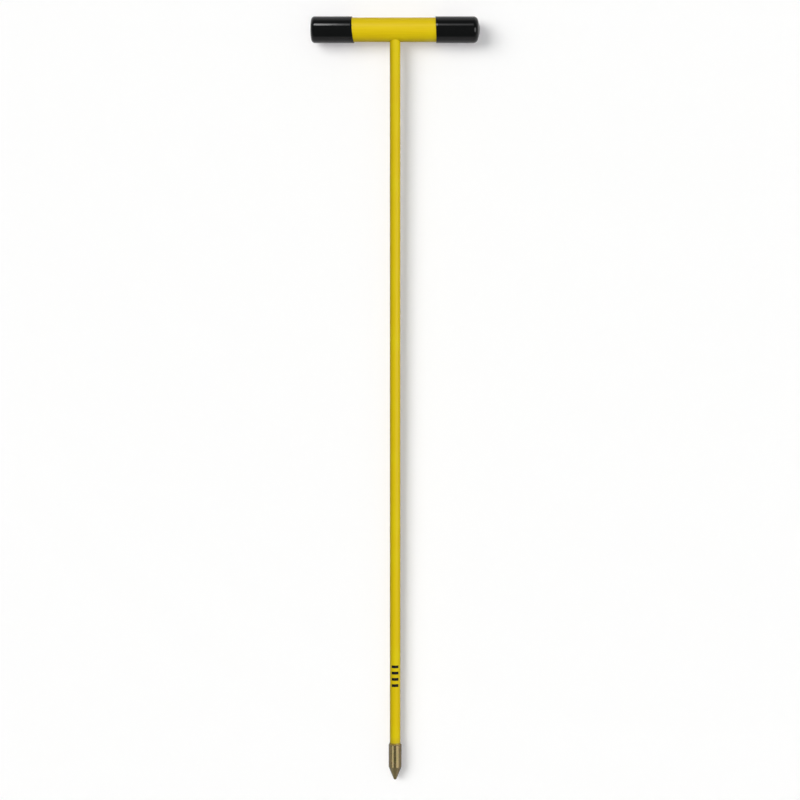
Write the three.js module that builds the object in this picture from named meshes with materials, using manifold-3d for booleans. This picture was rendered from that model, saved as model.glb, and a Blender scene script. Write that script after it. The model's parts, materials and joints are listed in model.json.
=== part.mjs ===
// A utility probe: a fibreglass rod with a steel point and a T handle, pushed into soil by hand to feel for
// buried pipes and cables. It lies on the ground, with its handle towards +Y and its point towards -Y.
// The origin is on the ground under the middle of the tool, and +Z is up.
// Lengths are in millimetres and angles in degrees.

import * as THREE from 'three'
import { mergeVertices } from 'three/addons/utils/BufferGeometryUtils.js'
import Module from 'manifold-3d'

const wasm = await Module()
wasm.setup()

// The whole tool
const overallLength = 914.4 // from the back of the handle tube to the end of the point
const handleLength = 203.2 // over both end caps
const clearance = 0.3 // between pieces that fit together
const cutOverrun = 5 // how far a cutting solid runs past the piece that it cuts

// Rod, solid pultruded fibreglass
const rodDiameter = 12.7

// Handle tube, pultruded fibreglass with a hole drilled in one wall for the rod
const tubeDiameter = 28.6
const tubeWall = 3.2

// End caps, dip-moulded vinyl, each trimmed by hand and so a little out of square
const capWall = 1.05
const capEndWall = 2.2
const capCornerRadius = 5
const capStop = 5 // from the closed end to where the bore starts to narrow, which stops the tube's square rim
const leftCapLength = 49.7
const rightCapLength = 52.8
const leftMouthRunOut = 2.1 // how much further one side of the mouth reaches than the other
const rightMouthRunOut = 1.3

// Adhesive around the rod inside the handle tube, between two foam discs
const pottedLength = 46
const damThickness = 9

// Point, turned steel with a drilled socket for the rod
const pointWall = 1.15 // around the socket
const barrelLength = 26.9
const noseDiameter = 2
const coneHalfAngle = 23.3
const socketFloor = 3.7 // from the end of the socket's full width to the end of the barrel
const drillHalfAngle = 59
const edgeBreak = 0.3

// Facets around each round piece, in fours so that a corner lies exactly underneath
const handleFacets = 48
const rodFacets = 32
const pointFacets = 48
const cornerFacets = 5

// Sizes that follow from the ones above
const rodRadius = rodDiameter / 2
const rodHoleRadius = rodRadius + clearance
const tubeRadius = tubeDiameter / 2
const boreRadius = tubeRadius - tubeWall
const fillRadius = boreRadius - clearance
const capBoreRadius = tubeRadius + clearance
const capRadius = capBoreRadius + capWall
const capFloorRadius = capBoreRadius - (capStop - capEndWall)
const pointRadius = rodHoleRadius + pointWall
const noseRadius = noseDiameter / 2

// Places along the rod, measured from the handle's axis at zero, with the point towards -Y
const noseY = tubeRadius - overallLength
const barrelEndY = noseY + (pointRadius - noseRadius) / Math.tan(radians(coneHalfAngle))
const shoulderY = barrelEndY + barrelLength
const socketFloorY = barrelEndY + socketFloor
const rodBottomY = socketFloorY + clearance
const rodTopY = Math.sqrt(fillRadius ** 2 - rodRadius ** 2) // its edge meets the curve of the bore
const capEndX = handleLength / 2

// Finishes
const yellowFibreglass = { color: 0xe1c31e, roughness: 0.45, metalness: 0 }
const blackVinyl = { color: 0x161616, roughness: 0.25, metalness: 0 }
const platedSteel = { color: 0x9a8a58, roughness: 0.35, metalness: 1 }
const curedEpoxy = { color: 0xc9a45a, roughness: 0.3, metalness: 0 }
const greyFoam = { color: 0x8c8c88, roughness: 0.95, metalness: 0 }

function radians(degrees) {
  return THREE.MathUtils.degToRad(degrees)
}

// A solid of revolution about Y. The outline is a list of [radius, y] that runs up the outside.
function turned(outline, facets) {
  const points = outline.map(([radius, y]) => new THREE.Vector2(radius, y))
  return new THREE.LatheGeometry(points, facets)
}

// A round bar along Y, from one end to the other.
function bar(radius, fromY, toY, facets) {
  return turned([[0, fromY], [radius, fromY], [radius, toY], [0, toY]], facets)
}

// A quarter round of an outline, from the flat end of a piece up to its outside wall.
function outsideCorner(wallRadius, cornerRadius, facets) {
  const corner = []
  for (let step = 0; step <= facets; step++) {
    const angle = (step / facets) * Math.PI / 2
    const inFromWall = cornerRadius * (1 - Math.sin(angle))
    const upFromEnd = cornerRadius * (1 - Math.cos(angle))
    corner.push([wallRadius - inFromWall, upFromEnd])
  }
  return corner
}

// A turned shape laid along X, with its lower end at x and its upper end towards +X or -X.
function laidAlongX(geometry, x, direction) {
  geometry.rotateZ(-direction * Math.PI / 2)
  return geometry.translate(x, 0, 0)
}

function toSolid(geometry) {
  const plain = geometry.clone()
  plain.deleteAttribute('normal')
  plain.deleteAttribute('uv')
  const merged = mergeVertices(plain)
  const corners = merged.index.array
  const triangles = []
  for (let i = 0; i < corners.length; i += 3) {
    const [a, b, c] = [corners[i], corners[i + 1], corners[i + 2]]
    if (a !== b && b !== c && c !== a) triangles.push(a, b, c)
  }
  const vertProperties = new Float32Array(merged.attributes.position.array)
  const triVerts = new Uint32Array(triangles)
  return new wasm.Manifold(new wasm.Mesh({ numProp: 3, vertProperties, triVerts }))
}

function toGeometry(solid) {
  const { vertProperties, triVerts } = solid.getMesh()
  const geometry = new THREE.BufferGeometry()
  geometry.setAttribute('position', new THREE.BufferAttribute(vertProperties, 3))
  geometry.setIndex(new THREE.BufferAttribute(triVerts, 1))
  geometry.computeVertexNormals()
  return geometry
}

function cut(geometry, cutter) {
  return toGeometry(toSolid(geometry).subtract(toSolid(cutter)))
}

function piece(name, geometry, finish) {
  const mesh = new THREE.Mesh(geometry, new THREE.MeshStandardMaterial(finish))
  mesh.name = name
  return mesh
}

function handleTube() {
  const length = handleLength - 2 * (capStop + clearance)
  const outline = [
    [boreRadius, 0],
    [tubeRadius, 0],
    [tubeRadius, length],
    [boreRadius, length],
    [boreRadius, 0]
  ]
  const tube = laidAlongX(turned(outline, handleFacets), -length / 2, 1)
  const rodHole = bar(rodHoleRadius, -tubeRadius - cutOverrun, 0, rodFacets)
  return piece('handle_tube', cut(tube, rodHole), yellowFibreglass)
}

// A cup with a rounded closed end. Both mouths lean the same way, further right on the side of the point.
function endCap(name, length, mouthRunOut, side) {
  const untrimmedLength = length + mouthRunOut + cutOverrun
  const outline = [
    [0, 0],
    ...outsideCorner(capRadius, capCornerRadius, cornerFacets),
    [capRadius, untrimmedLength],
    [capBoreRadius, untrimmedLength],
    [capBoreRadius, capStop],
    [capFloorRadius, capEndWall],
    [0, capEndWall]
  ]
  const cap = laidAlongX(turned(outline, handleFacets), side * capEndX, -side)
  const trimWidth = 2 * (capRadius + cutOverrun)
  const trimLength = 2 * (mouthRunOut + cutOverrun)
  const trim = new THREE.BoxGeometry(trimLength, trimWidth, trimWidth)
  trim.translate(-side * trimLength / 2, 0, 0)
  trim.rotateZ(Math.atan2(mouthRunOut, 2 * capRadius))
  trim.translate(side * (capEndX - length), 0, 0)
  return piece(name, cut(cap, trim), blackVinyl)
}

function probeRod() {
  return piece('probe_rod', bar(rodRadius, rodBottomY, rodTopY, rodFacets), yellowFibreglass)
}

// The adhesive fills the bore around and above the rod's end.
function handleEpoxy() {
  const filling = laidAlongX(bar(fillRadius, 0, pottedLength, handleFacets), -pottedLength / 2, 1)
  const rodHole = bar(rodHoleRadius, -tubeRadius - cutOverrun, rodTopY + clearance, rodFacets)
  return piece('handle_epoxy', cut(filling, rodHole), curedEpoxy)
}

function foamDam(name, side) {
  const disc = bar(fillRadius, 0, damThickness, handleFacets)
  return piece(name, laidAlongX(disc, side * (pottedLength / 2 + clearance), side), greyFoam)
}

function steelPoint() {
  const drillTipY = socketFloorY - rodHoleRadius / Math.tan(radians(drillHalfAngle))
  const outline = [
    [0, noseY],
    [noseRadius, noseY],
    [pointRadius, barrelEndY],
    [pointRadius, shoulderY - edgeBreak],
    [pointRadius - edgeBreak, shoulderY],
    [rodHoleRadius + edgeBreak, shoulderY],
    [rodHoleRadius, shoulderY - edgeBreak],
    [rodHoleRadius, socketFloorY],
    [0, drillTipY]
  ]
  return piece('steel_point', turned(outline, pointFacets), platedSteel)
}

// The adhesive pushed into the drill's cone under the rod, clear of the steel all round.
function pointEpoxy() {
  const drillAngle = radians(drillHalfAngle)
  const topRadius = rodHoleRadius - clearance / Math.cos(drillAngle)
  const tipY = socketFloorY - topRadius / Math.tan(drillAngle)
  const outline = [[0, tipY], [topRadius, socketFloorY], [0, socketFloorY]]
  return piece('point_epoxy', turned(outline, pointFacets), curedEpoxy)
}

// The tool in its own frame: the handle's axis along X and the rod down -Y from it.
const tool = new THREE.Group()
tool.add(handleTube())
tool.add(handleEpoxy())
tool.add(probeRod())
tool.add(steelPoint())
tool.add(pointEpoxy())

const ends = [
  { end: 'left', side: -1, capLength: leftCapLength, mouthRunOut: leftMouthRunOut },
  { end: 'right', side: 1, capLength: rightCapLength, mouthRunOut: rightMouthRunOut }
]
for (const { end, side, capLength, mouthRunOut } of ends) {
  tool.add(foamDam(`${end}_foam_dam`, side))
  tool.add(endCap(`${end}_end_cap`, capLength, mouthRunOut, side))
}

// It lies on both caps and on the lower corner of the point's barrel, so the rod slopes down to the point.
const slope = Math.atan2(capRadius - pointRadius, -barrelEndY)
const backY = capRadius * Math.cos(slope)
const frontY = noseY * Math.cos(slope) - noseRadius * Math.sin(slope)
tool.rotation.x = slope
tool.position.set(0, -(backY + frontY) / 2, capRadius * Math.cos(slope))

const probe = new THREE.Group()
probe.add(tool)

export default probe
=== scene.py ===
# A utility probe lying on a pale studio floor, seen from straight above: a fibreglass rod with a steel point
# and a fibreglass cross handle in two black vinyl caps. Lengths are in metres and angles in radians.

import json
from math import atan2, cos, pi, radians, sin, tan

import bmesh
import bpy
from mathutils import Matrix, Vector


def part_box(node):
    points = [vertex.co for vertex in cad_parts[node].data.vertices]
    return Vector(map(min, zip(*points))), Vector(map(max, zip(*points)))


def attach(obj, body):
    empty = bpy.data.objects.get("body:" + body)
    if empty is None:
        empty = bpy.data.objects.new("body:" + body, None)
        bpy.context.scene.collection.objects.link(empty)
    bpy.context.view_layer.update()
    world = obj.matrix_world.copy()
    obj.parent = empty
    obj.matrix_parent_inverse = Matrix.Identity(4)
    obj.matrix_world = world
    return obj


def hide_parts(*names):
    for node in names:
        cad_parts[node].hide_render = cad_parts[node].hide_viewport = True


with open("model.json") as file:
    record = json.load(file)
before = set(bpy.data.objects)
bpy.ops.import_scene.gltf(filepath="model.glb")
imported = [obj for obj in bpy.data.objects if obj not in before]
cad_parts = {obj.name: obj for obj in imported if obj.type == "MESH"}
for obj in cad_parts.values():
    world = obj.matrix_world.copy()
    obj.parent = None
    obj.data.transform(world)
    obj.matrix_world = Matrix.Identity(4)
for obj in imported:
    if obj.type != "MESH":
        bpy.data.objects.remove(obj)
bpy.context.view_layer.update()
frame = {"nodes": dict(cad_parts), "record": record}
scene = bpy.context.scene
scene.view_settings.view_transform = "Standard"


# The tool's own axes
# The tool lies on its caps and on its point's lower edge, so the rod slopes down a little from the handle.
# Each piece is modelled with the handle's axis along X and the rod down -Y, and is then laid on that slope.

mounts = {mount["name"]: mount for mount in frame["record"]["mounts"]}
right_end = Vector(mounts["right_cap_end"]["pos_m"])
rod_direction = Vector(mounts["nose_flat"]["axis"])
handle_centre = Vector((0, right_end.y, right_end.z))
slope = atan2(-rod_direction.z, -rod_direction.y)


# Camera
# It hangs over the middle of the tool and looks straight down. The long lens keeps the rod's edges almost
# parallel.

camera_height = 1.8
camera_right = 0.0059
camera_back = -0.00126
film_width = 36 # in millimetres, as is the lens
lens_length = 67.03

camera_data = bpy.data.cameras.new("camera")
camera_data.sensor_width = film_width
camera_data.lens = lens_length
camera = bpy.data.objects.new("camera", camera_data)
camera.location = (camera_right, camera_back, camera_height)
scene.collection.objects.link(camera)
scene.camera = camera


# Floor
# A wide sheet of white card. It looks white to the camera and in reflections, and keeps the tool's shadow.
# It throws less light back up than white card does, as the black table under a copy stand would.

floor_size = 40
floor_white = (0.985, 0.985, 0.985, 1)
floor_bounce = (0.3, 0.3, 0.3, 1)


def compute(tree, operation, first, second=0):
    """One step of arithmetic on sockets or numbers."""
    step = tree.nodes.new("ShaderNodeMath")
    step.operation = operation
    for socket, value in ((step.inputs[0], first), (step.inputs[1], second)):
        if isinstance(value, (int, float)):
            socket.default_value = value
        else:
            tree.links.new(value, socket)
    return step.outputs[0]


def mix_colours(tree, share, first, second):
    """The first colour, turning into the second as the share goes from 0 to 1."""
    mix = tree.nodes.new("ShaderNodeMix")
    mix.data_type = "RGBA"
    tree.links.new(share, mix.inputs[0])
    for socket, colour in ((mix.inputs[6], first), (mix.inputs[7], second)):
        if isinstance(colour, tuple):
            socket.default_value = colour
        else:
            tree.links.new(colour, socket)
    return mix.outputs[2]


def seen_share(tree):
    """1 for what the camera sees, straight, in a reflection or through glass, and 0 for other light."""
    ray = tree.nodes.new("ShaderNodeLightPath").outputs
    seen_or_glossy = compute(tree, "MAXIMUM", ray["Is Camera Ray"], ray["Is Glossy Ray"])
    return compute(tree, "MAXIMUM", seen_or_glossy, ray["Is Transmission Ray"])


bpy.ops.object.select_all(action="DESELECT")
bpy.ops.mesh.primitive_plane_add(size=floor_size)
floor = bpy.context.object
floor.name = "floor"
floor_material = bpy.data.materials.new("white_card")
floor_material.use_nodes = True
floor_tree = floor_material.node_tree
floor_tree.nodes.clear()
card = floor_tree.nodes.new("ShaderNodeBsdfDiffuse")
card_output = floor_tree.nodes.new("ShaderNodeOutputMaterial")
card_colour = mix_colours(floor_tree, seen_share(floor_tree), floor_bounce, floor_white)
floor_tree.links.new(card_colour, card.inputs["Color"])
floor_tree.links.new(card.outputs[0], card_output.inputs["Surface"])
floor.data.materials.append(floor_material)


# Studio light
# One broad lamp from the upper left throws the soft shadow on the card, and a fill evens the card out. The
# tool itself is lit from nearly overhead. The panels and strips show only in reflections, the strips as the
# caps' long highlight. Round the card stands a low white backdrop, and a grey room shows over it.

shadow_share = 0.46 # of the light on the card
shadow_spread = radians(42)
shadow_towards = Vector((-0.93, 0.31, 1)) # towards the lamp
fill_share = 0.32
overhead_share = 0.8
overhead_spread = radians(40)
overhead_towards = Vector((0.2, 0.01, 1))
shadow_white = (1, 0.985, 0.965)
fill_white = (1, 0.93, 0.98)
overhead_white = (1, 0.985, 1)
radiance_share = 0.25 # an area lamp's radiance, as a share of its power over its area
panel_distance = 1.6
panels = { # the angles from straight up between which each hangs, its two ends along Y, and its radiance
    "left_panel": (radians(-60), radians(-25), -1.4, 0, 1.8),
    "top_panel": (radians(-25), radians(19), -1.4, 0, 0.2),
    "right_panel": (radians(19), radians(68), -1.4, 0, 1.8),
    "cap_panel": (radians(22), radians(55), -0.35, 0.55, 4.6),
}
point_panels = ("left_panel", "top_panel", "right_panel") # these show in the steel point alone
front_panel_distance = 3
front_panel_angles = (radians(40), radians(80)) # from straight up, on the point's side
front_panel_length = 4
front_panel_radiance = 0.38
strip_distance = 1.8
strip_angle = radians(32) # from straight up, on the handle's far side
strip_width = 0.5
strips = { # the two ends of each along the handle from its middle, and its radiance
    "bright_strip": (-0.65, -0.134, 13),
    "middle_strip": (-0.134, 0.112, 2.8),
    "dim_strip": (0.112, 0.3, 1.6),
}
room_grey = (0.228, 0.257, 0.245, 1)
backdrop_white = (1, 1, 1, 1)
backdrop_top = radians(12.5) # above the horizon, where the white backdrop begins to fade into the room
backdrop_fade = radians(17)

card_only = bpy.data.collections.new("card_only")
card_only.objects.link(floor)
tool_only = bpy.data.collections.new("tool_only")
tool_only.objects.link(floor)
tool_only.collection_objects[0].light_linking.link_state = "EXCLUDE"
point_only = bpy.data.collections.new("point_only")


def add_sun(name, share, spread, towards, colour, lit):
    """A distant lamp for one group of things, at a share of full light. It doesn't show in reflections."""
    lamp_data = bpy.data.lights.new(name, "SUN")
    lamp_data.energy = share * pi * towards.length / towards.z
    lamp_data.angle = spread
    lamp_data.color = colour
    lamp = bpy.data.objects.new(name, lamp_data)
    lamp.rotation_euler = towards.to_track_quat("Z", "Y").to_euler()
    lamp.visible_glossy = False
    lamp.light_linking.receiver_collection = lit
    scene.collection.objects.link(lamp)
    return lamp


def add_panel(name, place, turned, across_x, across_y, radiance, lit=None):
    """A flat rectangular lamp, with its sizes along its own X and Y. It shows only in reflections, either in
    one group of things or in all of them."""
    lamp_data = bpy.data.lights.new(name, "AREA")
    lamp_data.shape = "RECTANGLE"
    lamp_data.size = across_x
    lamp_data.size_y = across_y
    lamp_data.energy = radiance * across_x * across_y / radiance_share
    lamp = bpy.data.objects.new(name, lamp_data)
    lamp.location = place
    lamp.rotation_euler = turned
    lamp.visible_diffuse = False
    lamp.light_linking.receiver_collection = lit
    scene.collection.objects.link(lamp)


def remap(tree, value, low, high, to_low=0, to_high=1):
    """Stretches a value's low to high over to_low to to_high, and holds it there."""
    stretch = tree.nodes.new("ShaderNodeMapRange")
    stretch.inputs["From Min"].default_value = low
    stretch.inputs["From Max"].default_value = high
    stretch.inputs["To Min"].default_value = to_low
    stretch.inputs["To Max"].default_value = to_high
    tree.links.new(value, stretch.inputs["Value"])
    return stretch.outputs["Result"]


add_sun("shadow", shadow_share, shadow_spread, shadow_towards, shadow_white, card_only)
fill = add_sun("fill", fill_share, 0, Vector((0, 0, 1)), fill_white, card_only)
fill.data.use_shadow = False
add_sun("overhead", overhead_share, overhead_spread, overhead_towards, overhead_white, tool_only)

for name, (left_edge, right_edge, front, back, radiance) in panels.items():
    middle = (left_edge + right_edge) / 2
    width = 2 * panel_distance * tan((right_edge - left_edge) / 2)
    place = Vector((panel_distance * sin(middle), (front + back) / 2, panel_distance * cos(middle)))
    lit = point_only if name in point_panels else None
    add_panel(name, place, (0, middle, 0), width, back - front, radiance, lit)

front_middle = sum(front_panel_angles) / 2
front_width = 2 * front_panel_distance * tan((front_panel_angles[1] - front_panel_angles[0]) / 2)
front_place = Vector((0, -sin(front_middle), cos(front_middle))) * front_panel_distance
add_panel(
    "front_panel", front_place, (front_middle, 0, 0), front_panel_length, front_width, front_panel_radiance,
    point_only,
)

strip_offset = Vector((0, strip_distance * sin(strip_angle), strip_distance * cos(strip_angle)))
for name, (left, right, radiance) in strips.items():
    place = handle_centre + strip_offset + Vector(((left + right) / 2, 0, 0))
    add_panel(name, place, (-strip_angle, 0, 0), right - left, strip_width, radiance)

room = bpy.data.worlds.new("room")
room.use_nodes = True
room_tree = room.node_tree
direction = room_tree.nodes.new("ShaderNodeTexCoord")
direction_parts = room_tree.nodes.new("ShaderNodeSeparateXYZ")
room_tree.links.new(direction.outputs["Generated"], direction_parts.inputs[0])
backdrop = remap(room_tree, direction_parts.outputs["Z"], sin(backdrop_top), sin(backdrop_fade), 1, 0)
on_backdrop = compute(room_tree, "MULTIPLY", seen_share(room_tree), backdrop)
room_colour = mix_colours(room_tree, on_backdrop, room_grey, backdrop_white)
room_tree.links.new(room_colour, room_tree.nodes["Background"].inputs["Color"])
scene.world = room


# Handle tube
# A pultruded tube of glass fibre in pigmented yellow resin. It is sawn square at both ends, and one wall is
# drilled for the rod. Its fibres run along X and show as faint streaks under the resin's satin skin.

tube_low, tube_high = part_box("handle_tube")
rod_low, rod_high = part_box("probe_rod")
tube_length = tube_high.x - tube_low.x
tube_radius = (tube_high.z - tube_low.z) / 2
tube_wall = 0.0032
tube_sides = 128
rod_radius = (rod_high.x - rod_low.x) / 2
rod_sides = 64 # of the rod and of the hole that takes it
hole_clearance = 0.0003
hole_radius = rod_radius + hole_clearance
hole_reach = 0.006 # how far the drill starts outside the tube
hole_edge = 0.00025
edge_segments = 2
tube_edge_angle = radians(40) # the tube's edges that are sharper are rounded
smooth_angle = radians(32) # edges that are gentler look smooth
hole_lane = 0.009 # half the width of the stretch of wall that holds the hole
tube_end_ring = 0.002 # from each end to a ring that keeps the rounding of the end off the tube's side
tube_yellow = (0.76, 0.55, 0.002, 1)
tube_yellow_deep = (0.71, 0.5, 0.001, 1)
tube_lemon = (0.74, 0.6, 0.003, 1)
fibre_streaks = 1100 # to the metre, across the fibres
fibre_length_streaks = 22 # to the metre, along the fibres


def turn(name, along, outline, sides):
    """A solid turned about an axis through the handle's centre. The outline is (place on the axis, radius)
    pairs from one end, round the outside, to the other end, and both ends are closed by a flat face."""
    place, radius = outline[0]
    bpy.ops.object.select_all(action="DESELECT")
    facing = along.to_track_quat("Z", "Y").to_euler()
    bpy.ops.mesh.primitive_circle_add(
        vertices=sides, radius=radius, fill_type="NGON", location=along * place, rotation=facing
    )
    piece = bpy.context.object
    piece.name = name
    bpy.ops.object.transform_apply(location=True, rotation=True, scale=True)
    bpy.ops.object.mode_set(mode="EDIT")
    bpy.ops.mesh.select_all(action="SELECT")
    for next_place, next_radius in outline[1:]:
        step_to(along, next_place - place, next_place, next_radius / radius)
        place, radius = next_place, next_radius
    bpy.ops.mesh.select_all(action="SELECT")
    bpy.ops.mesh.normals_make_consistent(inside=False)
    bpy.ops.object.mode_set(mode="OBJECT")
    return piece


def step_to(along, advance, place, widening):
    """Extrudes the selected face along the axis, then widens or narrows it about that axis."""
    bpy.ops.mesh.extrude_region_move(TRANSFORM_OT_translate={"value": along * advance})
    factors = [1 if abs(part) > 0.5 else widening for part in along]
    bpy.ops.transform.resize(value=factors, center_override=along * place)


def pick_faces(piece, wanted):
    """Selects the faces, in edit mode, for which wanted is true."""
    bpy.ops.mesh.select_mode(type="FACE")
    bpy.ops.mesh.select_all(action="DESELECT")
    for face in bmesh.from_edit_mesh(piece.data).faces:
        if wanted(face):
            face.select_set(True)
    bmesh.update_edit_mesh(piece.data)


def make_active(piece):
    """Selects one piece alone, for the operators and modifiers that follow."""
    bpy.ops.object.select_all(action="DESELECT")
    piece.select_set(True)
    bpy.context.view_layer.objects.active = piece


def cut_with(piece, cutter, operation="DIFFERENCE"):
    """Cuts a piece by another solid, which is then thrown away."""
    cut = piece.modifiers.new("cut", "BOOLEAN")
    cut.operation = operation
    cut.solver = "EXACT"
    cut.object = cutter
    make_active(piece)
    bpy.ops.object.modifier_apply(modifier="cut")
    bpy.data.objects.remove(cutter)


def ease_edges(piece, width, sharper_than):
    """Rounds every edge that is sharper than an angle."""
    ease = piece.modifiers.new("ease", "BEVEL")
    ease.width = width
    ease.segments = edge_segments
    ease.limit_method = "ANGLE"
    ease.angle_limit = sharper_than
    make_active(piece)
    bpy.ops.object.modifier_apply(modifier="ease")


def lay_on_slope(piece, smooth_below=smooth_angle):
    """Lays a piece, modelled on the tool's own axes, where the tool lies, and smooths its gentler edges."""
    piece.rotation_euler = (slope, 0, 0)
    piece.location = handle_centre
    make_active(piece)
    bpy.ops.object.transform_apply(location=True, rotation=True, scale=True)
    bpy.ops.object.shade_smooth_by_angle(angle=smooth_below)


def finish_piece(piece, material, slot, *nodes):
    """Gives a piece its material, hangs it on the tool's root, and hides the solids of the part that it
    stands for.
    """
    piece.data.materials.append(material)
    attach(piece, "root")
    if nodes:
        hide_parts(*nodes)


def start_material(name, roughness, metallic=0):
    """A new material, with its tree, its shader, and the place on the tool's own axes."""
    material = bpy.data.materials.new(name)
    material.use_nodes = True
    tree = material.node_tree
    shader = tree.nodes["Principled BSDF"]
    shader.inputs["Roughness"].default_value = roughness
    shader.inputs["Metallic"].default_value = metallic
    place = tree.nodes.new("ShaderNodeTexCoord")
    own_axes = tree.nodes.new("ShaderNodeMapping")
    own_axes.vector_type = "TEXTURE"
    own_axes.inputs["Location"].default_value = handle_centre
    own_axes.inputs["Rotation"].default_value = (slope, 0, 0)
    tree.links.new(place.outputs["Object"], own_axes.inputs["Vector"])
    return material, tree, shader, own_axes.outputs["Vector"]


def add_grain(tree, place, count, detail=3):
    """Noise from 0 to 1, with so many features to the metre along each axis."""
    scaled = tree.nodes.new("ShaderNodeMapping")
    scaled.inputs["Scale"].default_value = count
    tree.links.new(place, scaled.inputs["Vector"])
    noise = tree.nodes.new("ShaderNodeTexNoise")
    noise.inputs["Scale"].default_value = 1
    noise.inputs["Detail"].default_value = detail
    tree.links.new(scaled.outputs["Vector"], noise.inputs["Vector"])
    return noise.outputs["Fac"]


def add_bump(tree, shader, height, depth):
    """Raises the surface by up to a depth, over any bump that it already has."""
    bump = tree.nodes.new("ShaderNodeBump")
    bump.inputs["Distance"].default_value = depth
    tree.links.new(height, bump.inputs["Height"])
    if shader.inputs["Normal"].is_linked:
        tree.links.new(shader.inputs["Normal"].links[0].from_socket, bump.inputs["Normal"])
    tree.links.new(bump.outputs["Normal"], shader.inputs["Normal"])


def yellow_fibreglass(name, along, yellow, deep, lemon):
    """Pigmented fibreglass with its fibres along one axis, and the material's parts for adding marks."""
    material, tree, shader, place = start_material(name, roughness=0.42)
    shader.inputs["Specular IOR Level"].default_value = 0.16
    streak_count = [fibre_length_streaks if part else fibre_streaks for part in along]
    streaks = add_grain(tree, place, streak_count, detail=4)
    clouds = add_grain(tree, place, (18, 18, 18))
    scuffs = add_grain(tree, place, (420, 420, 420), detail=6)
    colour = mix_colours(tree, remap(tree, streaks, 0.3, 0.7), deep, yellow)
    colour = mix_colours(tree, remap(tree, clouds, 0.48, 0.8), colour, lemon)
    tree.links.new(colour, shader.inputs["Base Color"])
    roughness = remap(tree, scuffs, 0.35, 0.7, to_low=0.36, to_high=0.52)
    tree.links.new(roughness, shader.inputs["Roughness"])
    add_bump(tree, shader, streaks, depth=0.00002)
    add_bump(tree, shader, scuffs, depth=0.000006)
    return material, tree, shader, place, colour


across = Vector((1, 0, 0))
down_rod = Vector((0, -1, 0))
half_tube = tube_length / 2
handle_tube = turn("tube", across, [(-half_tube, tube_radius), (half_tube, tube_radius)], tube_sides)
bpy.ops.object.mode_set(mode="EDIT")
pick_faces(handle_tube, lambda face: abs(face.normal.x) > 0.9)
bpy.ops.mesh.inset(thickness=tube_wall, use_individual=True)
bpy.ops.mesh.bridge_edge_loops()
for ring_place in (tube_end_ring - half_tube, -hole_lane, hole_lane, half_tube - tube_end_ring):
    bpy.ops.mesh.select_all(action="SELECT")
    bpy.ops.mesh.bisect(plane_co=(ring_place, 0, 0), plane_no=(1, 0, 0))
bpy.ops.object.mode_set(mode="OBJECT")
drill_outline = [(0, hole_radius), (tube_radius + hole_reach, hole_radius)]
cut_with(handle_tube, turn("drill", down_rod, drill_outline, rod_sides))
ease_edges(handle_tube, hole_edge, tube_edge_angle)
lay_on_slope(handle_tube)
tube_material = yellow_fibreglass("fibreglass_tube", across, tube_yellow, tube_yellow_deep, tube_lemon)[0]
finish_piece(handle_tube, tube_material, "yellow_fibreglass", "handle_tube")


# Probe rod
# A solid pultruded rod of the same fibreglass, sawn to length. Its upper end is glued into the handle and its
# lower end into the point. Four plain black bars are printed on it, low down.

rod_length = 0.88905
rod_top = 0.008736 # above the handle's axis
rod_edge = 0.0004
bars_start = 0.7616 # down the rod from the handle's axis
bar_pitch = 0.0075
bar_count = 4
bar_thickness_share = 0.45
bar_half_length = 0.0041
amber_band_from = 0.8475 # down the rod, where its colour starts to darken towards amber, more so nearer the point's shoulder
amber_band_to = 0.8575
amber_band_share = 0.45
rod_yellow = (0.69, 0.51, 0.001, 1)
rod_yellow_deep = (0.64, 0.46, 0.001, 1)
rod_lemon = (0.68, 0.55, 0.002, 1)
band_amber = (0.36, 0.25, 0.03, 1)
print_black = (0.008, 0.008, 0.008, 1)

rod_bottom = rod_length - rod_top
rod_outline = [
    (-rod_top, rod_radius - rod_edge),
    (-rod_top + rod_edge, rod_radius),
    (rod_bottom - rod_edge, rod_radius),
    (rod_bottom, rod_radius - rod_edge),
]
probe_rod = turn("rod", down_rod, rod_outline, rod_sides)
lay_on_slope(probe_rod)

rod_fibreglass = yellow_fibreglass("fibreglass_rod", down_rod, rod_yellow, rod_yellow_deep, rod_lemon)
rod_material, tree, shader, place, colour = rod_fibreglass
place_parts = tree.nodes.new("ShaderNodeSeparateXYZ")
tree.links.new(place, place_parts.inputs[0])
down = compute(tree, "MULTIPLY", place_parts.outputs["Y"], -1)
bar_number = compute(tree, "DIVIDE", compute(tree, "SUBTRACT", down, bars_start), bar_pitch)
on_bar = compute(tree, "LESS_THAN", compute(tree, "FRACT", bar_number), bar_thickness_share)
past_first = compute(tree, "GREATER_THAN", bar_number, 0)
before_last = compute(tree, "LESS_THAN", bar_number, bar_count)
on_top = compute(tree, "GREATER_THAN", place_parts.outputs["Z"], 0)
off_axis = compute(tree, "ABSOLUTE", place_parts.outputs["X"])
not_past_side = compute(tree, "LESS_THAN", off_axis, bar_half_length)
printed = on_bar
for limit in (past_first, before_last, on_top, not_past_side):
    printed = compute(tree, "MULTIPLY", printed, limit)
# The rod's colour turns darker and more amber over the band just above the point's shoulder
colour = mix_colours(tree, remap(tree, down, amber_band_from, amber_band_to, 0, amber_band_share), colour, band_amber)
tree.links.new(mix_colours(tree, printed, colour, print_black), shader.inputs["Base Color"])
finish_piece(probe_rod, rod_material, "yellow_fibreglass", "probe_rod")


# End caps
# Each is a long cup of black vinyl, made by dipping a hot steel finger in plastisol, so its closed end is
# domed and its skin is glossy and a little uneven. Its mouth is trimmed by hand, a little out of square.

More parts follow.
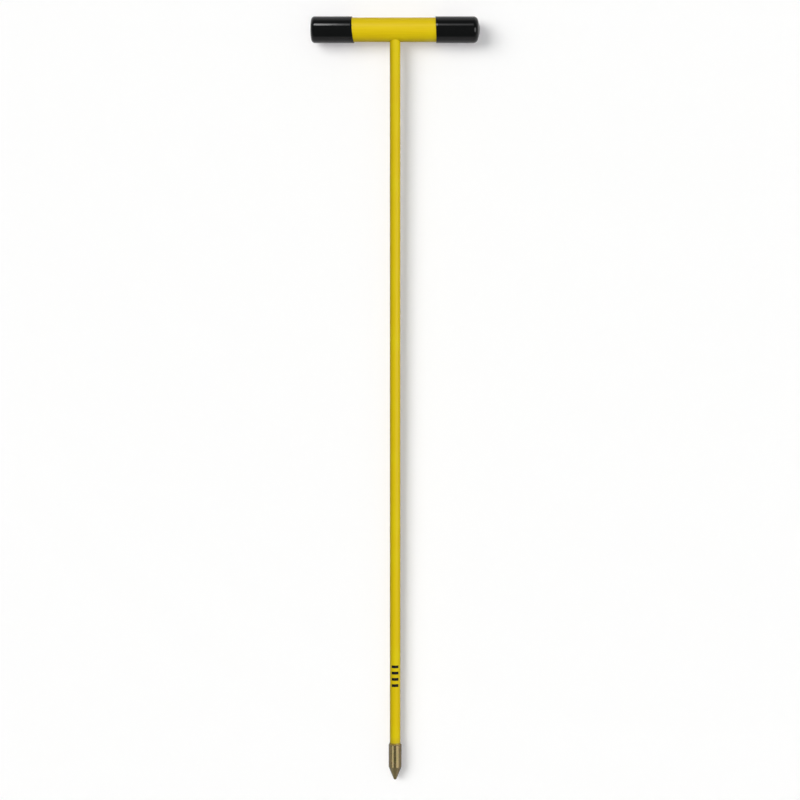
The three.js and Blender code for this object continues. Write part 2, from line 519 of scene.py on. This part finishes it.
cap_wall = 0.00105
cap_stop = 0.005 # from the closed end to where the bore starts to narrow, which stops the tube's square rim
cap_end_wall = 0.0036 # under the middle of the dome
cap_floor_radius = 0.012
side_ring = 0.002 # from each end of the side to a ring that keeps the roundings off it
cap_shapes = { # the end's dome and corner, and how much further right the mouth is in front and underneath
    "left_end_cap": (0.001, 0.0047, 0.0017, 0.003),
    "right_end_cap": (0.002, 0.006, 0.0013, 0),
}
cap_sides = 96
dome_steps = 12
corner_steps = 12
cap_lip = 0.00018
cap_lip_angle = radians(60) # the cap's edges that are sharper are rounded
vinyl_black = (0.003, 0.003, 0.0032, 1)
vinyl_black_dusty = (0.0055, 0.0055, 0.0057, 1)


def cap_end_outline(end, radius, dome, corner):
    """The closed end: a shallow dome, then a quarter round down to the side."""
    flat = radius - corner
    outline = []
    for step in range(1, dome_steps + 1):
        share = step / dome_steps
        outline.append((end - dome * share ** 2, flat * share))
    for step in range(1, corner_steps + 1):
        angle = step / corner_steps * pi / 2
        in_from_end = dome + corner * (1 - cos(angle))
        outline.append((end - in_from_end, flat + corner * sin(angle)))
    return outline


def black_vinyl(name):
    """Glossy black plastisol, with an uneven skin, a trace of dust and a few rubbed places."""
    material, tree, shader, place = start_material(name, roughness=0.1)
    shader.inputs["Specular IOR Level"].default_value = 0.2
    skin = add_grain(tree, place, (260, 260, 260), detail=2)
    dust = add_grain(tree, place, (900, 900, 900), detail=5)
    rubbed = add_grain(tree, place, (90, 260, 260), detail=4)
    colour = mix_colours(tree, remap(tree, dust, 0.5, 0.75), vinyl_black, vinyl_black_dusty)
    tree.links.new(colour, shader.inputs["Base Color"])
    roughness = remap(tree, rubbed, 0.35, 0.7, to_low=0.08, to_high=0.14)
    tree.links.new(roughness, shader.inputs["Roughness"])
    add_bump(tree, shader, skin, depth=0.000008)
    add_bump(tree, shader, dust, depth=0.0000006)
    return material


vinyl = black_vinyl("dipped_vinyl")
for side, node in ((-1, "left_end_cap"), (1, "right_end_cap")):
    low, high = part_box(node)
    dome, corner, run_out, run_under = cap_shapes[node]
    cap_radius = (high.z - low.z) / 2
    cap_end = max(abs(low.x), abs(high.x))
    mouth = cap_end - (high.x - low.x) + (run_out - run_under) / 2
    lean = atan2(run_out, 2 * cap_radius)
    lean_under = atan2(run_under, 2 * cap_radius)
    outward = across * side
    side_start = cap_end - dome - corner
    side_places = (side_start - side_ring, mouth + (run_out + run_under) / 2 + side_ring, mouth)
    outline = cap_end_outline(cap_end, cap_radius, dome, corner)
    outline += [(place, cap_radius) for place in side_places]
    cap = turn(node.replace("_end_cap", "_cap"), outward, outline, cap_sides)
    bpy.ops.object.mode_set(mode="EDIT")
    pick_faces(cap, lambda face: face.normal.x * side < -0.99)
    bpy.ops.transform.rotate(value=-lean, orient_axis="Z", center_override=outward * mouth)
    bpy.ops.transform.rotate(value=lean_under, orient_axis="Y", center_override=outward * mouth)
    bpy.ops.mesh.inset(thickness=cap_wall)
    stop, floor_place = cap_end - cap_stop, cap_end - cap_end_wall
    step_to(outward, stop - mouth, stop, 1)
    # The bore ends square, although the mouth leans
    bpy.ops.transform.resize(value=(0, 1, 1), center_override=outward * stop)
    step_to(outward, floor_place - stop, floor_place, cap_floor_radius / (cap_radius - cap_wall))
    bpy.ops.mesh.select_all(action="SELECT")
    bpy.ops.mesh.normals_make_consistent(inside=False)
    bpy.ops.object.mode_set(mode="OBJECT")
    ease_edges(cap, cap_lip, cap_lip_angle)
    lay_on_slope(cap)
    finish_piece(cap, vinyl, "black_vinyl", node)


# Steel point
# Turned from bar in one piece: a barrel with a drilled socket for the rod, and a cone with a blunted nose.
# It is zinc plated and yellow passivated, so it is a dull gold with olive and brown patches.

point_low, point_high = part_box("steel_point")
point_radius = (point_high.x - point_low.x) / 2
nose_place = (handle_centre - Vector(mounts["nose_flat"]["pos_m"])).length
nose_radius = 0.002
nose_flat_radius = 0.001 # where the cone would end if the nose were flat
cone_half_angle = radians(23.3)
barrel_length = 0.0269
below_socket = 0.0037 # from the end of the socket's full width to the end of the barrel
drill_half_angle = radians(59)
drill_tip_radius = 0.0001
point_edge = 0.0003
point_smooth_angle = radians(18)
mouth_chamfer = 0.0005
point_sides = 128
plate_gold = (0.155, 0.11, 0.037, 1)
plate_olive = (0.134, 0.104, 0.028, 1)
plate_brown = (0.148, 0.093, 0.031, 1)
edge_tint = (0.02, 0.02, 0.005, 1)
film_ior = 1.45

nose_steps = 8
barrel_end = nose_place - (point_radius - nose_flat_radius) / tan(cone_half_angle)
shoulder = barrel_end - barrel_length
socket_floor = barrel_end - below_socket
drill_tip = socket_floor + hole_radius / tan(drill_half_angle)
point_outline = []
for step in range(1, nose_steps + 1):
    angle = step / nose_steps * (pi / 2 - cone_half_angle)
    point_outline.append((nose_place - nose_radius * (1 - cos(angle)), nose_radius * sin(angle)))
point_outline += [
    (barrel_end, point_radius),
    (shoulder + point_edge, point_radius),
    (shoulder, point_radius - point_edge),
    (shoulder, hole_radius + mouth_chamfer),
    (shoulder + mouth_chamfer, hole_radius),
    (socket_floor, hole_radius),
    (drill_tip, drill_tip_radius),
]


def yellow_plate(name):
    """Yellow passivated zinc over turned steel, with its patches, its tool marks and a few scratches."""
    material, tree, shader, place = start_material(name, roughness=0.4, metallic=1)
    shader.inputs["Specular Tint"].default_value = edge_tint
    shader.inputs["Coat Weight"].default_value = 1
    shader.inputs["Coat IOR"].default_value = film_ior
    shader.inputs["Coat Roughness"].default_value = 0.1
    patches = add_grain(tree, place, (160, 90, 160), detail=2)
    stains = add_grain(tree, place, (420, 220, 420), detail=5)
    tool_marks = add_grain(tree, place, (6, 5200, 6), detail=2)
    scratches = add_grain(tree, place, (2600, 240, 2600), detail=3)
    colour = mix_colours(tree, remap(tree, patches, 0.42, 0.6), plate_gold, plate_olive)
    colour = mix_colours(tree, remap(tree, stains, 0.5, 0.72), colour, plate_brown)
    tree.links.new(colour, shader.inputs["Base Color"])
    roughness = remap(tree, stains, 0.3, 0.7, to_low=0.19, to_high=0.29)
    tree.links.new(roughness, shader.inputs["Roughness"])
    add_bump(tree, shader, tool_marks, depth=0.000006)
    add_bump(tree, shader, scratches, depth=0.000004)
    return material


steel_point = turn("point", down_rod, point_outline, point_sides)
point_only.objects.link(steel_point)
lay_on_slope(steel_point, smooth_below=point_smooth_angle)
finish_piece(steel_point, yellow_plate("plated_steel"), "plated_steel", "steel_point")


# Adhesive
# Amber epoxy holds the rod in the handle and in the point. Inside the handle it is potted between two foam
# discs, and it fills the drill's cone under the rod. At both places it shows as a thin ring round the rod.

epoxy_amber = (0.31, 0.205, 0.02, 1)
epoxy_brown = (0.22, 0.14, 0.012, 1)
ring_inset = 0.00001
ring_depth = 0.003
handle_ring_sink = 0.00012
bead_height = 0.002 # of the adhesive that was squeezed out over the point's shoulder
bead_foot = 0.0008
bead_top = 0.0002


def amber_epoxy(name):
    """Cured epoxy with small bubbles and darker streaks where it was stirred."""
    material, tree, shader, place = start_material(name, roughness=0.3)
    stirred = add_grain(tree, place, (140, 140, 140), detail=3)
    bubbles = add_grain(tree, place, (1500, 1500, 1500), detail=1)
    colour = mix_colours(tree, remap(tree, stirred, 0.35, 0.7), epoxy_amber, epoxy_brown)
    tree.links.new(colour, shader.inputs["Base Color"])
    roughness = remap(tree, bubbles, 0.6, 0.75, to_low=0.25, to_high=0.5)
    tree.links.new(roughness, shader.inputs["Roughness"])
    add_bump(tree, shader, bubbles, depth=0.00003)
    return material


def finish_solids(material, *nodes):
    """Gives solids of the part, which are kept as they are, their material."""
    for node in nodes:
        materials = frame["nodes"][node].data.materials
        materials.clear()
        materials.append(material)


def glue_ring(name, outline):
    """A turned piece of adhesive with room for the rod through it."""
    inner = rod_radius + ring_inset
    first, last = outline[0][0], outline[-1][0]
    ring = turn(name, down_rod, outline, rod_sides)
    cut_with(ring, turn("rod_room", down_rod, [(first - inner, inner), (last + inner, inner)], rod_sides))
    return ring


epoxy = amber_epoxy("amber_epoxy")
finish_solids(epoxy, "handle_epoxy", "point_epoxy")

gap_outer = hole_radius - ring_inset
handle_outline = [(tube_radius - ring_depth, gap_outer), (tube_radius + ring_depth, gap_outer)]
handle_ring = glue_ring("handle_glue", handle_outline)
bored_radius = tube_radius - handle_ring_sink
bored = turn("bored", across, [(-hole_lane, bored_radius), (hole_lane, bored_radius)], tube_sides)
cut_with(handle_ring, bored, "INTERSECT")
bead_outline = [
    (shoulder - bead_height, rod_radius + bead_top),
    (shoulder - bead_height / 3, rod_radius + bead_foot / 2),
    (shoulder - ring_inset, rod_radius + bead_foot),
    (shoulder - ring_inset, gap_outer),
    (shoulder + ring_depth, gap_outer),
]
point_ring = glue_ring("point_glue", bead_outline)
for ring in (handle_ring, point_ring):
    lay_on_slope(ring)
    finish_piece(ring, epoxy, "cured_epoxy")


# Foam discs
# Two discs of grey closed-cell foam, punched from sheet and pushed into the tube's bore from its ends. They
# stopped the adhesive while it set.

foam_cells = 1400 # to the metre
foam_grey = (0.26, 0.26, 0.25, 1)
foam_dark = (0.16, 0.16, 0.155, 1)

foam, tree, shader, place = start_material("grey_foam", roughness=0.95)
cells = tree.nodes.new("ShaderNodeTexVoronoi")
cells.inputs["Scale"].default_value = foam_cells
tree.links.new(place, cells.inputs["Vector"])
walls = remap(tree, cells.outputs["Distance"], 0.2, 0.8)
tree.links.new(mix_colours(tree, walls, foam_dark, foam_grey), shader.inputs["Base Color"])
add_bump(tree, shader, walls, depth=0.00015)
finish_solids(foam, "left_foam_dam", "right_foam_dam")
